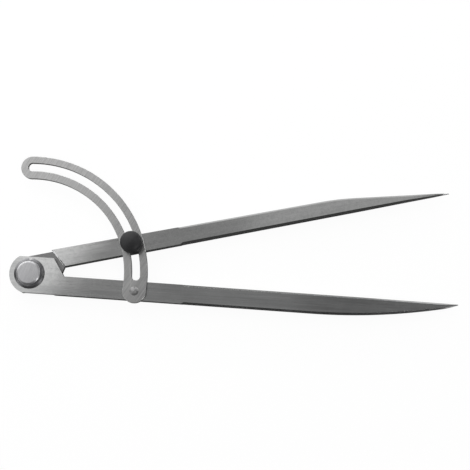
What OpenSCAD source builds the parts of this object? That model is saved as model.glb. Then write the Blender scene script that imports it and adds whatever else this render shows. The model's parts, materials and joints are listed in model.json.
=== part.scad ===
// Flat-bar wing divider lying on its back.
// The origin is on the pivot axis at the back faces of the legs. +X runs along the inner edge
// of the front leg, +Z points out of the front faces. The rear leg stands open at rest.

/* [Legs] */
// Angle between the inner edges of the legs at rest, degrees
open_angle = 14.8; // [5:0.1:60]
// Distance from the pivot axis to the points
leg_length = 250; // [246:1:256]
// Width of each leg at the pivot end
leg_width = 11; // [9:0.1:12]
// Thickness of each leg
leg_thick = 7.5; // [6:0.1:8]
// Distance from the pivot line to each leg's inner edge
edge_offset = 0.35; // [0.3:0.05:0.6]
// Distance from the pivot axis at which the long edges start to be chamfered
chamfer_start = 90; // [80:1:110]
// Size of the chamfers along the long edges
chamfer = 0.9; // [0.4:0.1:1.2]
// Distance from the pivot axis at which the points start to thin
thin_start = 196; // [190:1:210]

/* [Points] */
// Distance at which the front leg's outer edge starts to curve in
curve_start = 166; // [163:1:172]
// Radius of that curve
curve_r = 365; // [350:5:390]
// Distance at which the rear leg's outer edge bends in
bend_x = 184.8; // [180:0.2:188]
// Rear leg's width at that bend
bend_width = 9.05; // [8.6:0.05:9.3]
// Slope of the rear leg's outer edge beyond the bend, degrees
bend_slope = 7.5; // [7:0.1:7.9]
// Length of the steep ground facets at the points
facet_len = 9; // [6:0.5:12]

/* [Pivot] */
// Radius of the round ends of the legs
head_r = 11.9; // [11.6:0.1:12.5]
// Distance from the pivot axis to the flat side of each head
head_flat = 9.9; // [9.4:0.1:10.2]
// Running gap between the two halves of the lap
lap_gap = 0.1; // [0.05:0.05:0.2]
// How much narrower the rear leg's half of the lap is along its outer edge
lap_relief = 0.7; // [0.2:0.1:1.2]
// Radius of the rivet's flat head
rivet_head_r = 7; // [6.5:0.1:7.5]
// Thickness of the rivet's flat head
rivet_head_h = 2.6; // [1.8:0.1:3]
// Radius of the rivet's shank
rivet_shank_r = 4; // [3.5:0.1:4.5]
// Radius of the washer under the head
washer_r = 9; // [8.2:0.1:9.2]
// Thickness of that washer
washer_h = 1.2; // [0.8:0.1:1.5]

/* [Quadrant arc] */
// Radius of the middle of the slot about the pivot axis
slot_path_r = 62.8; // [61:0.1:65]
// Width of the slot
slot_width = 4.7; // [4.5:0.1:5]
// Width of the inner rail beside the slot
inner_rail = 4.6; // [4:0.05:5]
// Width of the outer rail beside the slot at its free end
outer_rail = 4.1; // [3.6:0.05:4.4]
// How much wider the outer rail is at the riveted end
outer_rail_growth = 0.3; // [0:0.1:0.6]
// Thickness of the arc's strip
arc_thick = 2.5; // [2:0.1:3]
// Angle of the rivet below the front leg's inner edge, degrees
eye_angle = 5.7; // [5.4:0.1:6.2]
// Radius of the round eye about the rivet
eye_r = 7.05; // [7.05:0.05:7.6]
// Angle of the slot's end near the rivet, degrees
slot_start_angle = 2.2; // [1.8:0.1:4.8]
// Angle of the slot's free end, degrees
slot_end_angle = 93.5; // [92:0.1:100]
// Radius of the arc rivet's domed head
arc_rivet_r = 2.65; // [2.4:0.05:3]

/* [Lock screw] */
// Radius of the knob
knob_r = 6.3; // [5.8:0.1:7]
// Height of the knob with its collar
knob_h = 9; // [7.5:0.1:10]
// Radius of the washer under the knob
lock_washer_r = 5.2; // [4.8:0.1:5.8]
// Thickness of that washer
lock_washer_h = 0.9; // [0.6:0.1:1.2]
// Radius of the screw
screw_r = 1.95; // [1.8:0.05:2]

/* [Hidden] */
$fn = 96;

// Fits, and a small overlap that makes cuts clean
running_gap = 0.05;
over = 1;
large_fn = 720;

// Leg outline, in the frame of a leg whose inner edge runs along +X just below Y = 0
inner_y = -edge_offset;
outer_y = inner_y - leg_width;
lap_z = leg_thick / 2;
shoulder_top = [13.5, head_flat];
shoulder_foot = [21, inner_y - 1];
step_outer = [14.5, -12];
step_inner = [20.85, 0];
step_bevel_w = 0.75;
step_bevel_h = 0.6;

// Points of the legs: what is left at the end, and how steep the last ground facets are
tip_width = 0.5;
tip_thick = 0.8;
facet_x = leg_length - facet_len;
facet_thick = 4.2;
facet_slope = 0.35;

// Rear leg's bend: a short tangent arc between its two straight outer edges
bend_r = 150;
first_slope = atan((leg_width - bend_width) / bend_x);
bend_tangent = bend_r * tan((bend_slope - first_slope) / 2);
bend_from = bend_x - bend_tangent * cos(first_slope);
bend_to = bend_x + bend_tangent * cos(bend_slope);
bend_centre = [
    bend_from - bend_r * sin(first_slope),
    outer_y + bend_from * tan(first_slope) + bend_r * cos(first_slope)
];

// Cross-sections of the chamfered stretch of a leg
runout = 1.5;
least_chamfer = 0.05;
curved_from = 166;
section_step = 3;
section_x = [
    chamfer_start, chamfer_start + runout,
    for (x = [curved_from : section_step : facet_x - 1]) x,
    for (part = [0 : 0.25 : 1]) facet_x + part * facet_len
];

// Pivot stack, from the front faces upwards
bore_r = rivet_shank_r + running_gap;
pivot_washer_z = leg_thick;
pivot_head_z = pivot_washer_z + washer_h;
tail_r = 6;
tail_depth = 1.7;
head_edge = 0.7;
washer_slope_w = 1.3;
washer_slope_h = 0.8;

// Arc, which lies just clear of the front faces
arc_z = leg_thick + running_gap;
arc_top = arc_z + arc_thick;
slot_r = slot_width / 2;
arc_inner_r = slot_path_r - slot_r - inner_rail;
arc_outer_r = slot_path_r + slot_r + outer_rail;
end_swell = 0.03; // round ends stand this much proud, so outlines cross instead of touching
arc_end_r = (arc_outer_r - arc_inner_r) / 2 + end_swell;
arc_mid_r = (arc_outer_r + arc_inner_r) / 2;
screw_angle = asin((edge_offset + leg_width / 2 - 0.25) / slot_path_r);
eye = slot_path_r * [cos(eye_angle), -sin(eye_angle)];
arc_shank_r = 1.5;
arc_rivet_gap = 0.03;
arc_tail_r = 2.5;
arc_tail_depth = 1.1;
arc_dome_h = 1.5;

// Lock screw, upright on the rear leg's middle line at rest
screw_at = slot_path_r * [cos(open_angle + screw_angle), sin(open_angle + screw_angle)];
screw_bore_r = screw_r + running_gap;
lock_washer_z = arc_top + running_gap;
knob_z = lock_washer_z + lock_washer_h;
screw_from = 0.8;
screw_tip = 0.5;
insert_r = 3.4;
insert_h = 2.4;
insert_z = 2.6;
collar_r = 4.8;
collar_h = 1.3;
knob_edge = 1.6;
knob_foot_edge = 0.6;
dome_r = 13;
edge_circle_x = knob_r - knob_edge;
dome_drop = sqrt(pow(dome_r - knob_edge, 2) - pow(edge_circle_x, 2));
dome_z = knob_h - dome_r;
edge_circle_z = dome_z + dome_drop;
dome_meet_x = dome_r * edge_circle_x / (dome_r - knob_edge);

// Outer edge of the front leg at x: straight, then one long curve
function front_outer(x) =
    x < curve_start ? outer_y : outer_y + curve_r - sqrt(pow(curve_r, 2) - pow(x - curve_start, 2));

// Outer edge of the rear leg at x: a slow taper, a soft bend, and a straight taper
function rear_outer(x) =
    x < bend_from ? outer_y + x * tan(first_slope)
    : x < bend_to ? bend_centre[1] - sqrt(pow(bend_r, 2) - pow(x - bend_centre[0], 2))
    : outer_y + leg_width - bend_width + (x - bend_x) * tan(bend_slope);

// Outer edge with the last steep facet of the point
function ground_outer(x, edge_y) = max(edge_y, inner_y - tip_width - facet_slope * (leg_length - x));

// Thickness of a leg at x: full, then thinned alike on both faces
function thick_at(x) =
    x < thin_start ? leg_thick
    : x < facet_x ? leg_thick + (facet_thick - leg_thick) * (x - thin_start) / (facet_x - thin_start)
    : facet_thick + (tip_thick - facet_thick) * (x - facet_x) / facet_len;

// Chamfer at x: it runs out at its start and shrinks with the point
function chamfer_at(x, width) =
    x < chamfer_start + runout / 2 ? least_chamfer : min(chamfer, width / 4, thick_at(x) / 4);

// Cross-section at x: a rectangle with its four corners chamfered
function section(x, edge_y) =
    let (
        y = ground_outer(x, edge_y),
        c = chamfer_at(x, inner_y - y),
        low = lap_z - thick_at(x) / 2,
        high = lap_z + thick_at(x) / 2
    )
    [
        [x, y, low + c], [x, y + c, low], [x, inner_y - c, low], [x, inner_y, low + c],
        [x, inner_y, high - c], [x, inner_y - c, high], [x, y + c, high], [x, y, high - c]
    ];

// Closed solid through cross-sections that all have eight corners
module loft(sections) {
    sides = 8;
    last = (len(sections) - 1) * sides;
    polyhedron(
        points = [for (ring = sections) each ring],
        faces = [
            [for (i = [0 : sides - 1]) i],
            for (ring = [0 : len(sections) - 2])
                for (i = [0 : sides - 1])
                    let (a = ring * sides + i, b = ring * sides + (i + 1) % sides)
                        each [[a, a + sides, b], [b, a + sides, b + sides]],
            [for (i = [sides - 1 : -1 : 0]) last + i]
        ]
    );
}

// Head of a leg: a round end cut flat on one side, and a shoulder slanting to the inner edge
module head_plan() {
    intersection() {
        circle(head_r);
        translate([-head_r - over, outer_y])
            square([2 * head_r, head_flat - outer_y]);
    }
    polygon([[0, outer_y], [0, head_flat], shoulder_top, shoulder_foot, [shoulder_foot[0], outer_y]]);
}

// Cutter along the slanted step where the half lap ends, which bevels its edge
module step_bevel_cut() {
    run = step_inner - step_outer;
    translate([step_outer[0], step_outer[1], 0])
        rotate([0, 0, atan2(run[1], run[0])])
            rotate([0, 90, 0])
                linear_extrude(norm(run))
                    polygon([[step_bevel_h, 0], [0, step_bevel_w], [-step_bevel_h, 0], [0, -step_bevel_w]]);
}

// Distance along the leg at which the slanted step crosses y
function step_x(y) =
    step_outer[0] + (step_inner[0] - step_outer[0]) * (y - step_outer[1]) / (step_inner[1] - step_outer[1]);

// Cutter that narrows a leg's half of the lap along its outer edge, up to the slanted step
module lap_relief_cut() {
    inset_y = outer_y + lap_relief;
    past_y = outer_y - over;
    translate([0, 0, lap_z])
        linear_extrude(leg_thick)
            polygon([
                [-head_r - over, past_y], [step_x(past_y), past_y],
                [step_x(inset_y), inset_y], [-head_r - over, inset_y]
            ]);
}

// A leg in the front position. Its head has only the front half of the thickness, and the
// bar behind it starts at the slanted step. bar_end_y is the outer edge where the bar ends.
module leg_solid(bar_end_y, sections) {
    bar = [[0, outer_y], [chamfer_start, bar_end_y], [chamfer_start, inner_y], [0, inner_y]];
    difference() {
        linear_extrude(leg_thick)
            difference() {
                polygon(bar);
                polygon([[-over, step_outer[1]], step_outer, step_inner, [-over, step_inner[1]]]);
            }
        step_bevel_cut();
    }
    translate([0, 0, lap_z + lap_gap / 2])
        linear_extrude(leg_thick - lap_z - lap_gap / 2) {
            head_plan();
            polygon(bar);
        }
    loft(sections);
}

// Cutter for a countersink that starts below the face and has radius wide at the face
module countersink(wide, narrow, depth) {
    cylinder(r1 = wide + over * (wide - narrow) / depth, r2 = narrow, h = depth + over);
}

module front_leg() {
    color("silver")
        difference() {
            leg_solid(outer_y, [for (x = section_x) section(x, front_outer(x))]);
            translate([0, 0, -over])
                cylinder(r = bore_r, h = leg_thick + 2 * over);
            translate([eye[0], eye[1], -over])
                cylinder(r = arc_shank_r + arc_rivet_gap, h = leg_thick + 2 * over);
            translate([eye[0], eye[1], -over])
                countersink(arc_tail_r + arc_rivet_gap, arc_shank_r + arc_rivet_gap, arc_tail_depth);
        }
}

module rear_leg() {
    sections = [for (x = section_x) section(x, rear_outer(x))];
    color("darkgray")
        rotate([0, 0, open_angle])
            difference() {
                translate([0, 0, leg_thick])
                    rotate([180, 0, 0])
                        difference() {
                            leg_solid(rear_outer(chamfer_start), sections);
                            lap_relief_cut();
                        }
                translate([0, 0, -over])
                    cylinder(r = bore_r, h = leg_thick + 2 * over);
                translate([0, 0, -over])
                    countersink(tail_r + 2 * running_gap, rivet_shank_r + 2 * running_gap, tail_depth);
                rotate([0, 0, screw_angle])
                    translate([slot_path_r, 0, -over])
                        cylinder(r = screw_bore_r, h = leg_thick + 2 * over);
            }
}

// Rivet with a flat, bevelled head in front and a flush countersunk tail at the back
module pivot_rivet() {
    color("gainsboro") {
        cylinder(r1 = tail_r, r2 = rivet_shank_r, h = tail_depth);
        cylinder(r = rivet_shank_r, h = pivot_head_z + over / 2);
        translate([0, 0, pivot_head_z])
            cylinder(r = rivet_head_r, h = rivet_head_h - head_edge);
        translate([0, 0, pivot_head_z + rivet_head_h - head_edge])
            cylinder(r1 = rivet_head_r, r2 = rivet_head_r - head_edge, h = head_edge);
    }
}

// Washer under the rivet's head, with its outer edge sloping down
module pivot_washer() {
    color("dimgray")
        translate([0, 0, pivot_washer_z])
            difference() {
                union() {
                    cylinder(r = washer_r, h = washer_h - washer_slope_h);
                    translate([0, 0, washer_h - washer_slope_h])
                        cylinder(r1 = washer_r, r2 = washer_r - washer_slope_w, h = washer_slope_h);
                }
                translate([0, 0, -over])
                    cylinder(r = bore_r, h = washer_h + 2 * over);
            }
}

// Sector of the plane between two angles, out past the arc
module sector(from_angle, to_angle) {
    reach = 2 * slot_path_r;
    mid = (from_angle + to_angle) / 2;
    polygon([
        [0, 0],
        reach * [cos(from_angle), sin(from_angle)],
        reach * [cos(mid), sin(mid)],
        reach * [cos(to_angle), sin(to_angle)]
    ]);
}

// Arc strip seen from the front: rails, the round free end and the eye at the rivet
module arc_plan() {
    intersection() {
        difference() {
            rotate([0, 0, slot_end_angle])
                translate([-outer_rail_growth, 0])
                    circle(arc_outer_r + outer_rail_growth, $fn = large_fn);
            circle(arc_inner_r, $fn = large_fn);
        }
        sector(-eye_angle, slot_end_angle);
    }
    rotate([0, 0, slot_end_angle])
        translate([arc_mid_r, 0])
            circle(arc_end_r);
    translate(eye)
        circle(eye_r);
}

// Slot: a ring stretch about the pivot axis with two round ends
module slot_plan() {
    intersection() {
        difference() {
            circle(slot_path_r + slot_r, $fn = large_fn);
            circle(slot_path_r - slot_r, $fn = large_fn);
        }
        sector(slot_start_angle, slot_end_angle);
    }
    for (end_angle = [slot_start_angle, slot_end_angle])
        rotate([0, 0, end_angle])
            translate([slot_path_r, 0])
                circle(slot_r + end_swell);
}

module arc() {
    color("lightgray")
        translate([0, 0, arc_z])
            linear_extrude(arc_thick)
                difference() {
                    arc_plan();
                    slot_plan();
                    translate(eye)
                        circle(arc_shank_r + arc_rivet_gap);
                }
}

// Small rivet that fixes the arc: domed head, flush countersunk tail
module arc_rivet() {
    ball_r = (pow(arc_rivet_r, 2) + pow(arc_dome_h, 2)) / (2 * arc_dome_h);
    color("gray")
        translate([eye[0], eye[1], 0]) {
            cylinder(r1 = arc_tail_r, r2 = arc_shank_r, h = arc_tail_depth);
            cylinder(r = arc_shank_r, h = arc_top + arc_dome_h / 2);
            translate([0, 0, arc_top])
                intersection() {
                    translate([0, 0, arc_dome_h - ball_r])
                        sphere(ball_r);
                    cylinder(r = arc_rivet_r + over, h = arc_dome_h + over);
                }
        }
}

module lock_washer() {
    color("gainsboro")
        translate([screw_at[0], screw_at[1], lock_washer_z])
            difference() {
                cylinder(r = lock_washer_r, h = lock_washer_h);
                translate([0, 0, -over])
                    cylinder(r = screw_bore_r, h = lock_washer_h + 2 * over);
            }
}

// Half section of the knob: collar, round-edged body and a shallow dome tangent to its edge
module knob_section() {
    square([collar_r, collar_h + knob_foot_edge]);
    translate([0, collar_h])
        square([knob_r - knob_foot_edge, edge_circle_z - collar_h]);
    translate([knob_r - knob_foot_edge, collar_h + knob_foot_edge])
        circle(knob_foot_edge);
    translate([0, collar_h + knob_foot_edge])
        square([knob_r, edge_circle_z - collar_h - knob_foot_edge]);
    translate([edge_circle_x, edge_circle_z])
        circle(knob_edge);
    intersection() {
        translate([0, dome_z])
            circle(dome_r, $fn = large_fn);
        translate([0, edge_circle_z])
            square([dome_meet_x, knob_h]);
    }
}

module lock_knob() {
    color("black")
        translate([screw_at[0], screw_at[1], knob_z])
            difference() {
                rotate_extrude()
                    intersection() {
                        knob_section();
                        square([2 * knob_r, 2 * knob_h]);
                    }
                translate([0, 0, -over])
                    cylinder(r = screw_bore_r, h = insert_z + over + over / 2);
                translate([0, 0, insert_z])
                    cylinder(r = insert_r, h = insert_h, $fn = 6);
            }
}

// Screw with a hexagonal head that the knob is moulded round
module lock_screw() {
    color("darkgray")
        translate([screw_at[0], screw_at[1], 0]) {
            translate([0, 0, screw_from])
                cylinder(r1 = screw_r - screw_tip, r2 = screw_r, h = screw_tip);
            translate([0, 0, screw_from + screw_tip])
                cylinder(r = screw_r, h = knob_z + insert_z - screw_from - screw_tip + over / 2);
            translate([0, 0, knob_z + insert_z])
                cylinder(r = insert_r, h = insert_h, $fn = 6);
        }
}

front_leg();
rear_leg();
pivot_rivet();
pivot_washer();
arc();
arc_rivet();
lock_washer();
lock_knob();
lock_screw();
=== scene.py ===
"""Looks of a flat-bar wing divider: ground steel legs, a riveted quadrant arc and a black lock knob."""

import json
import math

import bpy
from mathutils import Matrix, Vector

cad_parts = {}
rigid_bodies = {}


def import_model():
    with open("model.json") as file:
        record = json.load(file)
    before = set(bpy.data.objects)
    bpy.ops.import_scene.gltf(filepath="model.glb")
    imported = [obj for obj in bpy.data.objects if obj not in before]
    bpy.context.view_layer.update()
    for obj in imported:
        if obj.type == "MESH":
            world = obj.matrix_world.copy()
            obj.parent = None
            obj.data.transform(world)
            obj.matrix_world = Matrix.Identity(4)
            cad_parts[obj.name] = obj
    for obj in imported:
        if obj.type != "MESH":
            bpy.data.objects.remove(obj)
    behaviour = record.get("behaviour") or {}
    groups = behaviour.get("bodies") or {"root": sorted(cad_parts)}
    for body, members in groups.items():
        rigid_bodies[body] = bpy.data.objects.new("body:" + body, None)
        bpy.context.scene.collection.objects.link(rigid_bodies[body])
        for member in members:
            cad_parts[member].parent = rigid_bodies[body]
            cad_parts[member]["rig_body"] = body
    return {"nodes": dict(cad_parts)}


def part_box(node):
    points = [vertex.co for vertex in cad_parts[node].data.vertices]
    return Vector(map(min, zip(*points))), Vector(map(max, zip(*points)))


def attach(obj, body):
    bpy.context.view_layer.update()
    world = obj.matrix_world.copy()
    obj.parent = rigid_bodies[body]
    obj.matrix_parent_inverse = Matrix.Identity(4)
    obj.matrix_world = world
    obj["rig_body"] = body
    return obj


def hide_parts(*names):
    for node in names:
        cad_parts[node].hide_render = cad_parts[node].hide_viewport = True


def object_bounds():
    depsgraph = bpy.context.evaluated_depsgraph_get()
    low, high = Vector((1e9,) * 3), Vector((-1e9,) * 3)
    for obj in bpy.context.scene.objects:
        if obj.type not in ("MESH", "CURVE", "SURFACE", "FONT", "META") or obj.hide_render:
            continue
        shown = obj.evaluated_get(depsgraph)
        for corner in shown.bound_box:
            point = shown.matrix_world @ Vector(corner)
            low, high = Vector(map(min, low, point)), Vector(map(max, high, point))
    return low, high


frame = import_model()
cad_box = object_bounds()

MM = 0.001
ROUND_SIDES = 96


# ---------------------------------------------------------------- places taken from the frame

def node_centre(node):
    low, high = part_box(node)
    return (low + high) / 2


def flat_point(node):
    """The middle of a node seen from above, at height zero."""
    centre = node_centre(node)
    return Vector((centre.x, centre.y, 0))


PIVOT = flat_point("pivot_rivet")
KNOB_AXIS = flat_point("lock_knob")
EYE_AXIS = flat_point("arc_rivet")
LEG_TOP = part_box("front_leg")[1].z
ARC_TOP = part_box("arc")[1].z
OPENING = math.atan2(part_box("rear_leg")[1].y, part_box("rear_leg")[1].x)


# ---------------------------------------------------------------- small helpers

def deselect_all():
    bpy.ops.object.select_all(action="DESELECT")


def activate(piece):
    deselect_all()
    piece.select_set(True)
    bpy.context.view_layer.objects.active = piece


def add_modifier(piece, kind, **settings):
    """Adds a modifier with these settings and applies it."""
    activate(piece)
    modifier = piece.modifiers.new(kind.lower(), kind)
    for name, value in settings.items():
        setattr(modifier, name, value)
    bpy.ops.object.modifier_apply(modifier=modifier.name)


def settle(piece):
    """Moves a piece's place into its mesh, so that the object sits at the origin."""
    activate(piece)
    bpy.ops.object.transform_apply(location=True, rotation=True, scale=True)


def stand_for(piece, node, material):
    """The piece takes a CAD node's place, body, material slot and a finished material."""
    piece.data.materials.clear()
    piece.data.materials.append(material)
    body = frame["nodes"][node]["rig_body"]
    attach(piece, body)
    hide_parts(node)


def smooth_shade(piece, angle=30):
    """Smooth shading that keeps the flat faces flat next to their eased edges."""
    activate(piece)
    bpy.ops.object.shade_smooth_by_angle(angle=math.radians(angle))
    add_modifier(piece, "WEIGHTED_NORMAL", mode="FACE_AREA", weight=100, keep_sharp=True)


# ---------------------------------------------------------------- flat pieces, eased from the CAD solids

def round_rims(piece, centres, spacing):
    """Adds points to rims that run round any of the centres, where they are coarser than spacing, and
    pushes each onto its circle."""
    mesh = piece.data
    same_radius, same_height, sagitta = 0.003 * MM, 0.001 * MM, 0.12 * MM

    def radius(co, centre):
        return math.hypot(co.x - centre.x, co.y - centre.y)

    for centre in centres:
        activate(piece)
        bpy.ops.object.mode_set(mode="EDIT")
        bpy.ops.mesh.select_all(action="DESELECT")
        bpy.ops.object.mode_set(mode="OBJECT")
        radii = set()
        for edge in mesh.edges:
            a, b = (mesh.vertices[i].co for i in edge.vertices)
            ra, rb = radius(a, centre), radius(b, centre)
            on_rim = abs(ra - rb) < same_radius and abs(a.z - b.z) < same_height
            if on_rim and spacing < (a - b).length < 0.5 * ra:
                edge.select = True
                radii.add(round(ra, 6))
        old_count = len(mesh.vertices)
        bpy.ops.object.mode_set(mode="EDIT")
        bpy.ops.mesh.select_mode(type="EDGE")
        bpy.ops.mesh.subdivide(number_cuts=4)
        bpy.ops.object.mode_set(mode="OBJECT")
        for vertex in mesh.vertices[old_count:]:
            r = radius(vertex.co, centre)
            near = [target for target in radii if -0.01 * MM < target - r < sagitta]
            if near and r > 0:
                push = min(near, key=lambda target: abs(target - r)) / r
                vertex.co.x = centre.x + (vertex.co.x - centre.x) * push
                vertex.co.y = centre.y + (vertex.co.y - centre.y) * push


def eased_piece(node, name, ease, round_about, material):
    """A copy of a CAD node with whole faces, finer round rims and its sharp edges eased by a small bevel."""
    piece = bpy.data.objects.new(name, frame["nodes"][node].data.copy())
    bpy.context.scene.collection.objects.link(piece)
    activate(piece)
    bpy.ops.object.mode_set(mode="EDIT")
    bpy.ops.mesh.select_all(action="SELECT")
    bpy.ops.mesh.customdata_custom_splitnormals_clear()
    bpy.ops.mesh.remove_doubles(threshold=0.002 * MM)
    bpy.ops.mesh.dissolve_limited(angle_limit=math.radians(0.1))
    bpy.ops.object.mode_set(mode="OBJECT")
    round_rims(piece, round_about, 0.8 * MM)
    add_modifier(piece, "BEVEL", width=ease, segments=3, limit_method="ANGLE",
                 angle_limit=math.radians(28), miter_outer="MITER_ARC")
    smooth_shade(piece)
    stand_for(piece, node, material)
    return piece


# ---------------------------------------------------------------- turned pieces

def pick_ring(piece, centre, radius, height):
    """In edit mode, selects only the points of the ring with this radius and height."""
    near = 0.001 * MM
    bpy.ops.mesh.select_all(action="DESELECT")
    bpy.ops.object.mode_set(mode="OBJECT")
    for vertex in piece.data.vertices:
        place = piece.matrix_world @ vertex.co
        off_radius = abs(math.hypot(place.x - centre.x, place.y - centre.y) - radius)
        vertex.select = abs(place.z - height) < near and off_radius < near
    bpy.ops.object.mode_set(mode="EDIT")
    bpy.ops.mesh.select_mode(type="VERT")


def turned_piece(name, centre, outline, bored=False):
    """A closed round piece, extruded from ring to ring along an outline of (radius, height) pairs.
    A solid one starts and ends on its axis. The outline of a bored one goes once round its section."""
    deselect_all()
    rings = outline if bored else outline[1:-1]
    radius, height = rings[0]
    bpy.ops.mesh.primitive_circle_add(vertices=ROUND_SIDES, radius=radius,
                                      location=(centre.x, centre.y, height))
    piece = bpy.context.object
    piece.name = name
    bpy.ops.object.mode_set(mode="EDIT")
    bpy.ops.mesh.select_all(action="SELECT")
    for next_radius, next_height in rings[1:]:
        bpy.ops.mesh.extrude_region_move(TRANSFORM_OT_translate={"value": (0, 0, next_height - height)})
        ratio = next_radius / radius
        bpy.ops.transform.resize(value=(ratio, ratio, 1), center_override=(centre.x, centre.y, next_height))
        radius, height = next_radius, next_height
    if bored:
        bpy.ops.mesh.select_all(action="DESELECT")
        bpy.ops.mesh.select_non_manifold()
        bpy.ops.mesh.bridge_edge_loops()
    else:
        for end_radius, end_height in (rings[-1], rings[0]):
            pick_ring(piece, centre, end_radius, end_height)
            bpy.ops.mesh.edge_face_add()
            bpy.ops.mesh.poke()
    bpy.ops.mesh.select_all(action="SELECT")
    bpy.ops.mesh.normals_make_consistent(inside=False)
    bpy.ops.object.mode_set(mode="OBJECT")
    settle(piece)
    return piece


def arc_points(centre_r, centre_z, radius, from_angle, to_angle, count):
    """Points of an arc in an outline, for rounded rims and domes. The angles are in degrees."""
    turns = [math.radians(from_angle + (to_angle - from_angle) * i / count) for i in range(count + 1)]
    return [(centre_r + radius * math.cos(turn), centre_z + radius * math.sin(turn)) for turn in turns]


def make_pivot_rivet(material):
    """Large flat rivet: eased flush tail, shank, and a head with a low bevel and a faint crown."""
    low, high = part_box("pivot_rivet")
    head_r = (high.x - low.x) / 2
    head_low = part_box("pivot_washer")[1].z
    shank_r, tail_r, tail_depth, ease = 4.0 * MM, 6.0 * MM, 1.7 * MM, 0.05 * MM
    bevel, slope, rim = 1.0 * MM, 24, 0.18 * MM
    bevel_top = high.z - 0.06 * MM - rim
    bevel_low = bevel_top - (bevel - rim) * math.tan(math.radians(slope))
    outline = [(0, 0), (tail_r - 2 * ease, 0), (tail_r, ease), (shank_r, tail_depth), (shank_r, head_low)]
    outline += arc_points(head_r - rim, head_low + rim, rim, -90, 0, 4)
    outline += arc_points(head_r - rim, bevel_low, rim, 0, 90 - slope, 4)
    outline += arc_points(head_r - bevel, bevel_top, rim, 90 - slope, 88, 3)
    outline += [(4.5 * MM, high.z - 0.03 * MM), (2.0 * MM, high.z - 0.005 * MM), (0, high.z)]
    piece = turned_piece("pivot_rivet_turned", PIVOT, outline)
    smooth_shade(piece, 40)
    stand_for(piece, "pivot_rivet", material)


def make_arc_rivet(material):
    """Small rivet with a domed head on the arc and an eased flush tail."""
    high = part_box("arc_rivet")[1]
    shank_r, tail_r, tail_depth, ease = 1.5 * MM, 2.5 * MM, 1.1 * MM, 0.05 * MM
    head_r, dome = 2.65 * MM, high.z - ARC_TOP
    ball = (head_r ** 2 + dome ** 2) / (2 * dome)
    rim_angle = math.degrees(math.asin((ball - dome) / ball))
    outline = [(0, 0), (tail_r - ease, 0), (tail_r, 0.8 * ease), (shank_r, tail_depth), (shank_r, ARC_TOP)]
    outline += [(head_r - 0.1 * MM, ARC_TOP)]
    outline += arc_points(0, high.z - ball, ball, rim_angle, 88, 12) + [(0, high.z)]
    piece = turned_piece("arc_rivet_turned", EYE_AXIS, outline)
    smooth_shade(piece, 50)
    stand_for(piece, "arc_rivet", material)


def make_washer(node, name, hole_r, edge, slope, material):
    """Washer with a bore. Its rims are eased by edge. Its outer edge slopes down by slope, which is a
    width and a height."""
    low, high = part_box(node)
    outer_r = (high.x - low.x) / 2
    outline = [(hole_r + edge, low.z), (outer_r - edge, low.z), (outer_r, low.z + edge)]
    outline += [(outer_r, high.z - slope[1] - edge / 3), (outer_r - edge / 3, high.z - slope[1])]
    outline += [(outer_r - slope[0], high.z - edge / 6), (outer_r - slope[0] - edge, high.z)]
    outline += [(hole_r + edge, high.z), (hole_r, high.z - edge), (hole_r, low.z + edge)]
    piece = turned_piece(name, node_centre(node), outline, bored=True)
    smooth_shade(piece, 25)
    stand_for(piece, node, material)


def make_knob(material):
    """Smooth moulded knob: collar, rounded foot, drum with a parting line, and a low dome."""
    low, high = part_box("lock_knob")
    knob_r = (high.x - low.x) / 2
    collar_r, collar_top = 4.8 * MM, low.z + 1.3 * MM
    ease, foot, rim, dome_r = 0.15 * MM, 0.6 * MM, 1.6 * MM, 13 * MM
    groove, groove_half = 0.05 * MM, 0.04 * MM
    rim_x = knob_r - rim
    rim_z = high.z - dome_r + math.sqrt((dome_r - rim) ** 2 - rim_x ** 2)
    meet = math.degrees(math.acos(rim_x / (dome_r - rim)))
    line_z = (collar_top + foot + rim_z) / 2
    outline = [(0, low.z), (collar_r - ease, low.z), (collar_r, low.z + ease), (collar_r, collar_top)]
    outline += arc_points(knob_r - foot, collar_top + foot, foot, -90, 0, 6)
    outline += [(knob_r, line_z - 3 * groove_half), (knob_r - groove, line_z - groove_half)]
    outline += [(knob_r - groove, line_z + groove_half), (knob_r, line_z + 3 * groove_half)]
    outline += arc_points(rim_x, rim_z, rim, 0, meet, 10)
    outline += arc_points(0, high.z - dome_r, dome_r, meet + 2, 89, 8) + [(0, high.z)]
    piece = turned_piece("lock_knob_moulded", KNOB_AXIS, outline)
    smooth_shade(piece, 35)
    stand_for(piece, "lock_knob", material)


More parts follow.
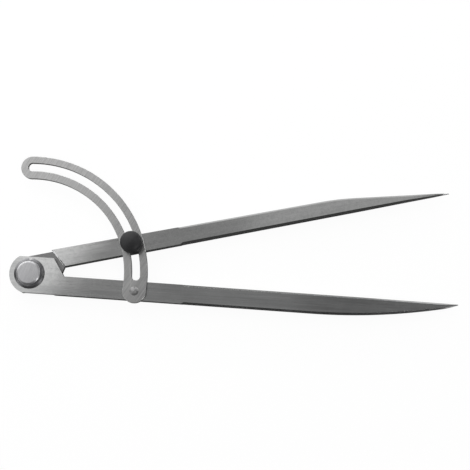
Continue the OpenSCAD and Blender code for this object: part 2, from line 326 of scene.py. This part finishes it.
def make_screw(material):
    """Screw with a real helical thread on its core, up into the knob."""
    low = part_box("lock_screw")[0]
    pitch, root_r, crest_r, ease = 0.7 * MM, 1.55 * MM, 1.95 * MM, 0.25 * MM
    thread_from = 0.45 * MM
    into_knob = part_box("lock_knob")[0].z + 2.4 * MM
    outline = [(0, low.z), (root_r - ease, low.z), (root_r, low.z + ease)]
    outline += [(root_r, into_knob), (0, into_knob)]
    core = turned_piece("lock_screw_threaded", KNOB_AXIS, outline)
    deselect_all()
    bpy.ops.mesh.primitive_circle_add(vertices=3, radius=0.30 * MM, location=(root_r + 0.1 * MM, 0, 0),
                                      rotation=(math.pi / 2, math.pi / 2, 0))
    thread = bpy.context.object
    settle(thread)
    turns = int((into_knob - low.z - 2 * thread_from) / pitch)
    add_modifier(thread, "SCREW", axis="Z", screw_offset=pitch, iterations=turns, steps=36, render_steps=36,
                 angle=2 * math.pi, use_normal_calculate=True)
    reach = max(math.hypot(v.co.x, v.co.y) for v in thread.data.vertices)
    for vertex in thread.data.vertices:
        vertex.co.x *= crest_r / reach
        vertex.co.y *= crest_r / reach
    thread.location = (KNOB_AXIS.x, KNOB_AXIS.y, low.z + thread_from)
    settle(thread)
    activate(thread)
    bpy.ops.object.mode_set(mode="EDIT")
    bpy.ops.mesh.select_all(action="SELECT")
    bpy.ops.mesh.fill_holes(sides=3)
    bpy.ops.mesh.normals_make_consistent(inside=False)
    bpy.ops.object.mode_set(mode="OBJECT")
    deselect_all()
    thread.select_set(True)
    core.select_set(True)
    bpy.context.view_layer.objects.active = core
    bpy.ops.object.join()
    smooth_shade(core, 35)
    stand_for(core, "lock_screw", material)


# ---------------------------------------------------------------- shader groups

def new_group(name, inputs, outputs):
    """An empty shader group. inputs and outputs are (name, socket kind, value) rows."""
    group = bpy.data.node_groups.new(name, "ShaderNodeTree")
    for label, kind, value in inputs:
        socket = group.interface.new_socket(name=label, in_out="INPUT", socket_type=kind)
        if value is not None:
            socket.default_value = value
    for label, kind, value in outputs:
        group.interface.new_socket(name=label, in_out="OUTPUT", socket_type=kind)
    ends = group.nodes.new("NodeGroupInput"), group.nodes.new("NodeGroupOutput")
    return group, ends[0], ends[1]


def maths(tree, operation, a, b=None, c=None):
    """A Math node. Each of a, b and c is a number or an output socket."""
    node = tree.nodes.new("ShaderNodeMath")
    node.operation = operation
    for index, value in enumerate((a, b, c)):
        if value is None:
            continue
        if isinstance(value, (int, float)):
            node.inputs[index].default_value = value
        else:
            tree.links.new(value, node.inputs[index])
    return node.outputs[0]


def ramp(tree, value, low, high, to_low=0.0, to_high=1.0):
    """Maps value from low..high to to_low..to_high and clamps it."""
    node = tree.nodes.new("ShaderNodeMapRange")
    tree.links.new(value, node.inputs["Value"])
    for label, number in (("From Min", low), ("From Max", high), ("To Min", to_low), ("To Max", to_high)):
        if isinstance(number, (int, float)):
            node.inputs[label].default_value = number
        else:
            tree.links.new(number, node.inputs[label])
    return node.outputs[0]


def noise(tree, vector, scale, detail, roughness=0.5):
    node = tree.nodes.new("ShaderNodeTexNoise")
    tree.links.new(vector, node.inputs["Vector"])
    if isinstance(scale, (int, float)):
        node.inputs["Scale"].default_value = scale
    else:
        tree.links.new(scale, node.inputs["Scale"])
    node.inputs["Detail"].default_value = detail
    node.inputs["Roughness"].default_value = roughness
    return node.outputs[0]


def grind_lines_group():
    """Fine parallel lines left by grinding or brushing along X, uneven in depth and broken up."""
    group, source, sink = new_group(
        "grind_lines",
        [("Vector", "NodeSocketVector", None), ("Line Length", "NodeSocketFloat", 60.0),
         ("Line Pitch", "NodeSocketFloat", 2500.0), ("Streak Share", "NodeSocketFloat", 0.25)],
        [("Lines", "NodeSocketFloat", None), ("Coarse", "NodeSocketFloat", None)])
    stretch = group.nodes.new("ShaderNodeCombineXYZ")
    group.links.new(source.outputs["Line Length"], stretch.inputs["X"])
    group.links.new(source.outputs["Line Pitch"], stretch.inputs["Y"])
    group.links.new(source.outputs["Line Pitch"], stretch.inputs["Z"])
    scaled = group.nodes.new("ShaderNodeVectorMath")
    scaled.operation = "MULTIPLY"
    group.links.new(source.outputs["Vector"], scaled.inputs[0])
    group.links.new(stretch.outputs[0], scaled.inputs[1])
    fine = noise(group, scaled.outputs[0], 1.0, 3, 0.7)
    wide = noise(group, scaled.outputs[0], source.outputs["Streak Share"], 4, 0.6)
    group.links.new(ramp(group, fine, 0.3, 0.7), sink.inputs["Lines"])
    group.links.new(ramp(group, wide, 0.3, 0.7), sink.inputs["Coarse"])
    return group


def handling_group():
    """Soft patches and small specks where hands, oil and storage have dulled the metal."""
    group, source, sink = new_group(
        "handling",
        [("Vector", "NodeSocketVector", None), ("Patch Size", "NodeSocketFloat", 70.0),
         ("Speck Size", "NodeSocketFloat", 900.0)],
        [("Patches", "NodeSocketFloat", None), ("Specks", "NodeSocketFloat", None)])
    patch = noise(group, source.outputs["Vector"], source.outputs["Patch Size"], 5, 0.6)
    speck = noise(group, source.outputs["Vector"], source.outputs["Speck Size"], 3, 0.6)
    group.links.new(ramp(group, patch, 0.35, 0.68), sink.inputs["Patches"])
    group.links.new(ramp(group, speck, 0.58, 0.72), sink.inputs["Specks"])
    return group


def scratches_group():
    """Sparse long hairline scratches that cross the grinding at a slight angle."""
    group, source, sink = new_group(
        "scratches",
        [("Vector", "NodeSocketVector", None), ("Turn", "NodeSocketFloat", 0.3),
         ("Spread", "NodeSocketFloat", 900.0)],
        [("Scratches", "NodeSocketFloat", None)])
    turned = group.nodes.new("ShaderNodeVectorRotate")
    turned.rotation_type = "Z_AXIS"
    group.links.new(source.outputs["Vector"], turned.inputs["Vector"])
    group.links.new(source.outputs["Turn"], turned.inputs["Angle"])
    stretch = group.nodes.new("ShaderNodeVectorMath")
    stretch.operation = "MULTIPLY"
    stretch.inputs[1].default_value = (0.02, 1.0, 1.0)
    group.links.new(turned.outputs[0], stretch.inputs[0])
    cell = noise(group, stretch.outputs[0], source.outputs["Spread"], 2, 0.5)
    group.links.new(ramp(group, cell, 0.72, 0.78), sink.inputs["Scratches"])
    return group


def edge_wear_group():
    """A mask that is high on outer edges, broken up by noise, where the steel has been rubbed bright."""
    group, source, sink = new_group(
        "edge_wear",
        [("Vector", "NodeSocketVector", None), ("Reach", "NodeSocketFloat", 0.52)],
        [("Worn", "NodeSocketFloat", None)])
    shape = group.nodes.new("ShaderNodeNewGeometry")
    edge = ramp(group, shape.outputs["Pointiness"], source.outputs["Reach"], 0.60)
    breakup = noise(group, source.outputs["Vector"], 600.0, 3, 0.6)
    worn = maths(group, "MULTIPLY", edge, ramp(group, breakup, 0.3, 0.6, 0.4, 1.0))
    group.links.new(worn, sink.inputs["Worn"])
    return group


RUBBED = (0.86, 0.86, 0.85)
GRIND = grind_lines_group()
HANDLING = handling_group()
SCRATCHES = scratches_group()
EDGE_WEAR = edge_wear_group()


# ---------------------------------------------------------------- materials

class Finish:
    """A material whose Principled shader is fed from groups placed on Object coordinates."""

    def __init__(self, name, metallic):
        self.material = bpy.data.materials.new(name)
        self.material.use_nodes = True
        self.tree = self.material.node_tree
        self.shader = self.tree.nodes["Principled BSDF"]
        self.shader.inputs["Metallic"].default_value = metallic
        self.coordinates = self.tree.nodes.new("ShaderNodeTexCoord").outputs["Object"]

    def turned(self, angle, centre=(0, 0, 0)):
        """Object coordinates about a centre, turned so that X runs at this angle."""
        mapping = self.tree.nodes.new("ShaderNodeMapping")
        mapping.vector_type = "TEXTURE"
        mapping.inputs["Location"].default_value = centre
        mapping.inputs["Rotation"].default_value = (0, 0, angle)
        self.tree.links.new(self.coordinates, mapping.inputs["Vector"])
        return mapping.outputs[0]

    def place(self, group, vector, **values):
        node = self.tree.nodes.new("ShaderNodeGroup")
        node.node_tree = group
        self.tree.links.new(vector, node.inputs["Vector"])
        for label, value in values.items():
            node.inputs[label.replace("_", " ")].default_value = value
        return node.outputs

    def blend(self, factor, first, second):
        """Mixes two colours, each a triple or a socket."""
        node = self.tree.nodes.new("ShaderNodeMix")
        node.data_type = "RGBA"
        self.tree.links.new(factor, node.inputs["Factor"])
        for index, colour in ((6, first), (7, second)):
            if isinstance(colour, tuple):
                node.inputs[index].default_value = (*colour, 1)
            else:
                self.tree.links.new(colour, node.inputs[index])
        return node.outputs[2]

    def sum(self, base, *parts):
        """base plus each (socket, amount)."""
        total = base
        for socket, amount in parts:
            total = maths(self.tree, "MULTIPLY_ADD", socket, amount, total)
        return total

    def bump(self, height, strength, distance):
        node = self.tree.nodes.new("ShaderNodeBump")
        node.inputs["Strength"].default_value = strength
        node.inputs["Distance"].default_value = distance
        self.tree.links.new(height, node.inputs["Height"])
        self.tree.links.new(node.outputs[0], self.shader.inputs["Normal"])

    def set(self, label, socket):
        self.tree.links.new(socket, self.shader.inputs[label])


def lap_face_mask(finish):
    """One on the half lap's machined faces, halfway through the thickness round the pivot, where painted
    shade goes.
    """
    place = finish.tree.nodes.new("ShaderNodeSeparateXYZ")
    finish.tree.links.new(finish.coordinates, place.inputs[0])
    level = maths(finish.tree, "COMPARE", place.outputs["Z"], LEG_TOP / 2, 0.2 * MM)
    shape = finish.tree.nodes.new("ShaderNodeNewGeometry")
    facing = finish.tree.nodes.new("ShaderNodeSeparateXYZ")
    finish.tree.links.new(shape.outputs["Normal"], facing.inputs[0])
    flat = maths(finish.tree, "GREATER_THAN", maths(finish.tree, "ABSOLUTE", facing.outputs["Z"]), 0.9)
    return maths(finish.tree, "MULTIPLY", level, flat)


def ground_steel(name, dark, light, rough, grain_angle, line_length=60.0, line_pitch=2500.0,
                 streak_share=0.25, line_depth=0.12, streak_contrast=0.5, lap_shade_colour=None):
    """Bare steel, ground or brushed along grain_angle, dulled in patches and rubbed bright on its edges.
    Its tone goes from dark to light. Where a colour for the half lap is given, its faces get it as painted
    shade: a darker colour for the shaded recess between the legs."""
    finish = Finish(name, 1.0)
    along = finish.turned(grain_angle)
    lines = finish.place(GRIND, along, Line_Length=line_length, Line_Pitch=line_pitch,
                         Streak_Share=streak_share)
    marks = finish.place(HANDLING, finish.coordinates, Patch_Size=55.0, Speck_Size=900.0)
    hairlines = finish.place(SCRATCHES, along, Turn=0.35, Spread=2600.0)
    edges = finish.place(EDGE_WEAR, finish.coordinates, Reach=0.52)
    tone = finish.sum(0.0, (lines["Lines"], 0.25), (lines["Coarse"], streak_contrast),
                      (marks["Patches"], 0.75 - streak_contrast))
    stain = tuple(0.55 * part for part in dark)
    colour = finish.blend(tone, dark, light)
    colour = finish.blend(maths(finish.tree, "MULTIPLY", marks["Specks"], 0.15), colour, stain)
    colour = finish.blend(maths(finish.tree, "MULTIPLY", hairlines["Scratches"], 0.08), colour, RUBBED)
    colour = finish.blend(maths(finish.tree, "MULTIPLY", edges["Worn"], 0.45), colour, RUBBED)
    roughness = finish.sum(rough, (lines["Lines"], 0.04), (marks["Patches"], 0.04),
                           (marks["Specks"], 0.04), (edges["Worn"], -0.03))
    # Painted shade: the half lap's faces take a darker colour, standing in for the shade in the recess
    # between the legs.
    if lap_shade_colour:
        lap = lap_face_mask(finish)
        colour = finish.blend(lap, colour, lap_shade_colour)
        roughness = finish.sum(roughness, (lap, 0.15))
    finish.set("Base Color", colour)
    finish.set("Roughness", roughness)
    height = finish.sum(0.0, (lines["Lines"], 0.6), (lines["Coarse"], 0.5), (hairlines["Scratches"], -0.12),
                        (marks["Specks"], -0.08))
    finish.bump(height, line_depth, 0.02 * MM)
    return finish.material


def moulded_plastic(name, colour, worn):
    """Black moulded plastic: faint moulding texture, a little dust and finger polish on its rim."""
    finish = Finish(name, 0.0)
    marks = finish.place(HANDLING, finish.coordinates, Patch_Size=160.0, Speck_Size=2600.0)
    edges = finish.place(EDGE_WEAR, finish.coordinates, Reach=0.51)
    dusty = tuple(1.5 * part for part in colour)
    body = finish.blend(maths(finish.tree, "MULTIPLY", marks["Patches"], 0.5), colour, dusty)
    body = finish.blend(maths(finish.tree, "MULTIPLY", marks["Specks"], 0.25), body, worn)
    body = finish.blend(maths(finish.tree, "MULTIPLY", edges["Worn"], 0.3), body, worn)
    finish.set("Base Color", body)
    finish.set("Roughness", finish.sum(0.36, (marks["Patches"], 0.10), (marks["Specks"], 0.12)))
    fine = noise(finish.tree, finish.coordinates, 2200.0, 3, 0.6)
    finish.bump(fine, 0.35, 0.03 * MM)
    return finish.material


def floor_paint():
    """Pale paper lit from within, so that it stays bright and even. In reflections it is a plain grey
    under the tool, and bright farther off, where it is met at a low angle."""
    material = bpy.data.materials.new("floor_paper")
    material.use_nodes = True
    tree = material.node_tree
    paper = tree.nodes["Principled BSDF"]
    paper.inputs["Roughness"].default_value = 0.9
    glow = tree.nodes.new("ShaderNodeEmission")
    glow.inputs["Strength"].default_value = FLOOR_BRIGHTNESS
    rays = tree.nodes.new("ShaderNodeLightPath")
    mix = tree.nodes.new("ShaderNodeMixShader")
    slant = tree.nodes.new("ShaderNodeLayerWeight")
    far = ramp(tree, slant.outputs["Facing"], 0.60, 0.85, 0.0, FLOOR_GLOW_FAR)
    seen = tree.nodes.new("ShaderNodeMath")
    seen.operation = "MULTIPLY_ADD"
    seen.inputs[1].default_value = FLOOR_GLOW
    tree.links.new(far, seen.inputs[2])
    shade = tree.nodes.new("ShaderNodeMapRange")
    shade.inputs["To Min"].default_value = FLOOR_IN_REFLECTIONS
    shade.inputs["To Max"].default_value = 0.92
    tree.links.new(rays.outputs["Is Camera Ray"], seen.inputs[0])
    tree.links.new(rays.outputs["Is Camera Ray"], shade.inputs["Value"])
    tree.links.new(shade.outputs[0], paper.inputs["Base Color"])
    tree.links.new(seen.outputs[0], mix.inputs[0])
    tree.links.new(paper.outputs[0], mix.inputs[1])
    tree.links.new(glow.outputs[0], mix.inputs[2])
    tree.links.new(mix.outputs[0], tree.nodes["Material Output"].inputs["Surface"])
    return material


def studio_sky():
    """A dim room that is brightest overhead and dark at the horizon."""
    world = bpy.data.worlds.new("studio_sky")
    world.use_nodes = True
    tree = world.node_tree
    background = tree.nodes["Background"]
    background.inputs["Color"].default_value = (1, 1, 1, 1)
    direction = tree.nodes.new("ShaderNodeTexCoord")
    parts = tree.nodes.new("ShaderNodeSeparateXYZ")
    tree.links.new(direction.outputs["Generated"], parts.inputs[0])
    strength = ramp(tree, parts.outputs["Z"], 0.1, 1.0, SKY_LOW, SKY_HIGH)
    tree.links.new(strength, background.inputs["Strength"])
    bpy.context.scene.world = world


# ---------------------------------------------------------------- camera and studio

CEILING = 0.85

AIM = Vector((0.1180, 0.0320, 0.0))
ELEVATION = math.radians(81.1)
AZIMUTH = math.radians(18.0)
ROLL = math.radians(-13.9)
DISTANCE = 0.741
LENS = 96.2

FLOOR_GLOW = 0.88
FLOOR_GLOW_FAR = 0.60
FLOOR_BRIGHTNESS = 1.07
FLOOR_IN_REFLECTIONS = 0.18
SKY_LOW = 0.045
SKY_HIGH = 0.17


def add_camera():
    """A camera nearly straight above the tool, turned so that the legs run to the right."""
    back = Vector((math.sin(AZIMUTH) * math.cos(ELEVATION),
                   -math.cos(AZIMUTH) * math.cos(ELEVATION),
                   math.sin(ELEVATION)))
    level = (-back).cross(Vector((0, 0, 1))).normalized()
    upright = level.cross(-back)
    right = math.cos(ROLL) * level + math.sin(ROLL) * upright
    up = math.cos(ROLL) * upright - math.sin(ROLL) * level
    data = bpy.data.cameras.new("camera")
    data.lens = LENS
    data.sensor_width = 36
    data.clip_start = 0.01
    camera = bpy.data.objects.new("camera", data)
    bpy.context.scene.collection.objects.link(camera)
    turn = Matrix((right, up, back)).transposed().to_4x4()
    camera.matrix_world = Matrix.Translation(AIM + DISTANCE * back) @ turn
    bpy.context.scene.camera = camera


def add_softbox(name, place, aim, width, height, power, turn=0):
    """A rectangular soft light at place, facing aim, turned about its own axis by this many degrees."""
    data = bpy.data.lights.new(name, "AREA")
    data.shape = "RECTANGLE"
    data.size = width
    data.size_y = height
    data.energy = power
    lamp = bpy.data.objects.new(name, data)
    bpy.context.scene.collection.objects.link(lamp)
    lamp.location = place
    lamp.rotation_euler = (Vector(aim) - Vector(place)).to_track_quat("-Z", "Y").to_euler()
    lamp.rotation_euler.rotate_axis("Z", math.radians(turn))


def add_ceiling_panel(name, x, y, width, height, power, turn=0):
    """A soft light that hangs level under the ceiling, which the flat faces mirror."""
    add_softbox(name, (x, y, CEILING), (x, y, 0), width, height, power, turn)


def add_studio():
    """Plain pale floor, dim sky, broad lights above and behind, and small low ones for the edges."""
    low = cad_box[0]
    deselect_all()
    bpy.ops.mesh.primitive_plane_add(size=6, location=(0.1, 0.03, low.z - 0.2 * MM))
    floor = bpy.context.object
    floor.name = "floor"
    settle(floor)
    floor.data.materials.append(floor_paint())

    studio_sky()
    add_softbox("window_light", (-0.30, 0.95, CEILING), (0.08, 0.02, 0), 1.2, 0.7, 2.0)
    add_ceiling_panel("left_ceiling", -0.513, 0.333, 1.8, 0.9, 3.4, turn=56)
    add_softbox("back_wall", (0.10, 1.10, 0.22), (0.10, 0.02, 0), 2.2, 0.4, 6.0)
    add_softbox("corner_light", (-0.62, 0.42, 0.26), (0.02, 0.02, 0), 0.5, 0.35, 0.8)
    add_softbox("right_strip", (0.51, -0.32, 0.72), (0.02, 0.0, 0), 0.25, 0.25, 0.5)
    add_ceiling_panel("rear_ceiling", 0.245, 0.235, 0.30, 0.20, 0.044)
    add_ceiling_panel("middle_ceiling", 0.02, 0.10, 0.28, 0.30, 0.025)
    add_softbox("low_left", (-0.76, -0.52, 0.28), (0.025, 0.015, 0), 0.5, 0.14, 0.5)
    add_softbox("low_right", (0.85, 0.48, 0.15), (0.065, 0.025, 0), 0.25, 0.25, 0.5)
    add_softbox("point_light", (0.70, 0.36, CEILING), (0.24, 0.06, 0), 0.22, 0.22, 0.35)
    bpy.context.scene.view_settings.view_transform = "Standard"


# ---------------------------------------------------------------- the object

def build_object():
    leg_tones = (0.475, 0.48, 0.48), (0.69, 0.695, 0.695)
    # Painted shade for the half lap's faces, darker than the ground steel round it.
    lap_shade_colour = (0.30, 0.30, 0.30)
    leg_front = ground_steel("front_leg_steel", *leg_tones, 0.09, 0.0, lap_shade_colour=lap_shade_colour)
    leg_rear = ground_steel("rear_leg_steel", *leg_tones, 0.09, OPENING, lap_shade_colour=lap_shade_colour)
    arc_steel = ground_steel("arc_steel", (0.42, 0.42, 0.42), (0.73, 0.73, 0.725), 0.26, math.radians(60),
                             line_length=90.0, line_pitch=2000.0, streak_share=0.6, streak_contrast=0.6)
    rivet_steel = ground_steel("rivet_steel", (0.54, 0.54, 0.555), (0.76, 0.76, 0.775), 0.30,
                               math.radians(72), line_length=160.0, line_pitch=1700.0, streak_share=0.5)
    arc_rivet_steel = ground_steel("arc_rivet_steel", (0.36, 0.36, 0.36), (0.58, 0.58, 0.58), 0.48,
                                   math.radians(20), line_length=700.0)
    # Painted shade: this steel is made much darker than the other steel, so that the ring round the pivot
    # rivet's head looks shaded.
    washer_steel = ground_steel("washer_steel", (0.20, 0.20, 0.21), (0.30, 0.30, 0.31), 0.30,
                                math.radians(20))
    screw_steel = ground_steel("screw_steel", (0.40, 0.40, 0.41), (0.55, 0.55, 0.56), 0.28, 0.0)
    knob_black = moulded_plastic("knob_plastic", (0.029, 0.029, 0.031), (0.10, 0.10, 0.10))

    slot_end = math.radians(93.5)
    rail_shift = -0.3 * MM
    outer_rail_centre = Vector((rail_shift * math.cos(slot_end), rail_shift * math.sin(slot_end), 0))
    leg_ease, arc_ease = 0.16 * MM, 0.35 * MM
    eased_piece("front_leg", "front_leg_ground", leg_ease, [PIVOT, EYE_AXIS], leg_front)
    eased_piece("rear_leg", "rear_leg_ground", leg_ease, [PIVOT, KNOB_AXIS], leg_rear)
    eased_piece("arc", "arc_strip", arc_ease, [Vector((0, 0, 0)), outer_rail_centre, EYE_AXIS], arc_steel)
    make_pivot_rivet(rivet_steel)
    make_washer("pivot_washer", "pivot_washer_ring", 4.05 * MM, 0.12 * MM, (1.3 * MM, 0.8 * MM), washer_steel)
    make_arc_rivet(arc_rivet_steel)
    make_washer("lock_washer", "lock_washer_ring", 2.0 * MM, 0.10 * MM, (0.15 * MM, 0.15 * MM), washer_steel)
    make_knob(knob_black)
    make_screw(screw_steel)


add_camera()
add_studio()
build_object()
